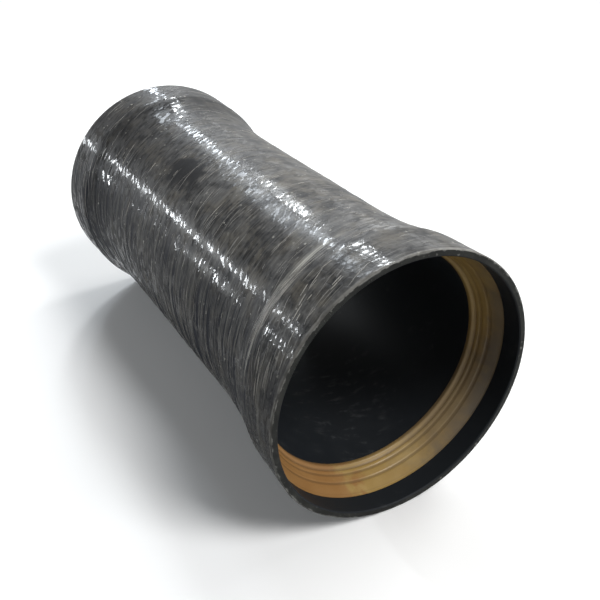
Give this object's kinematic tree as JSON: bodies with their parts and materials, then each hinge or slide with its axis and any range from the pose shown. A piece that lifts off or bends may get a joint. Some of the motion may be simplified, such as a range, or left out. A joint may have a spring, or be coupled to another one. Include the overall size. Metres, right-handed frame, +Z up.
{
  "type": "heavy wall conduit coupling",
  "caption": "Wound glass fibre sleeve, flared to a bell at both ends, with a ribbed sealing ring inside each mouth, that joins two lengths of round conduit.",
  "frame": {"origin": "on the floor under the middle of the sleeve, which lies on its two bell rims", "axes": "+Y along the sleeve's axis from the near mouth to the far mouth, +Z up"},
  "size_m": [0.1262, 0.267, 0.1262],
  "materials": {
    "wound_fibre": "black epoxy over wound glass fibre, glossy, with streaked circumferential fibre ridges",
    "seal": "moulded tan polyurethane, satin"
  },
  "bodies": {
    "root": {"conduit_body": "wound_fibre", "near_seal_ring": "seal", "far_seal_ring": "seal"}
  },
  "joints": []
}
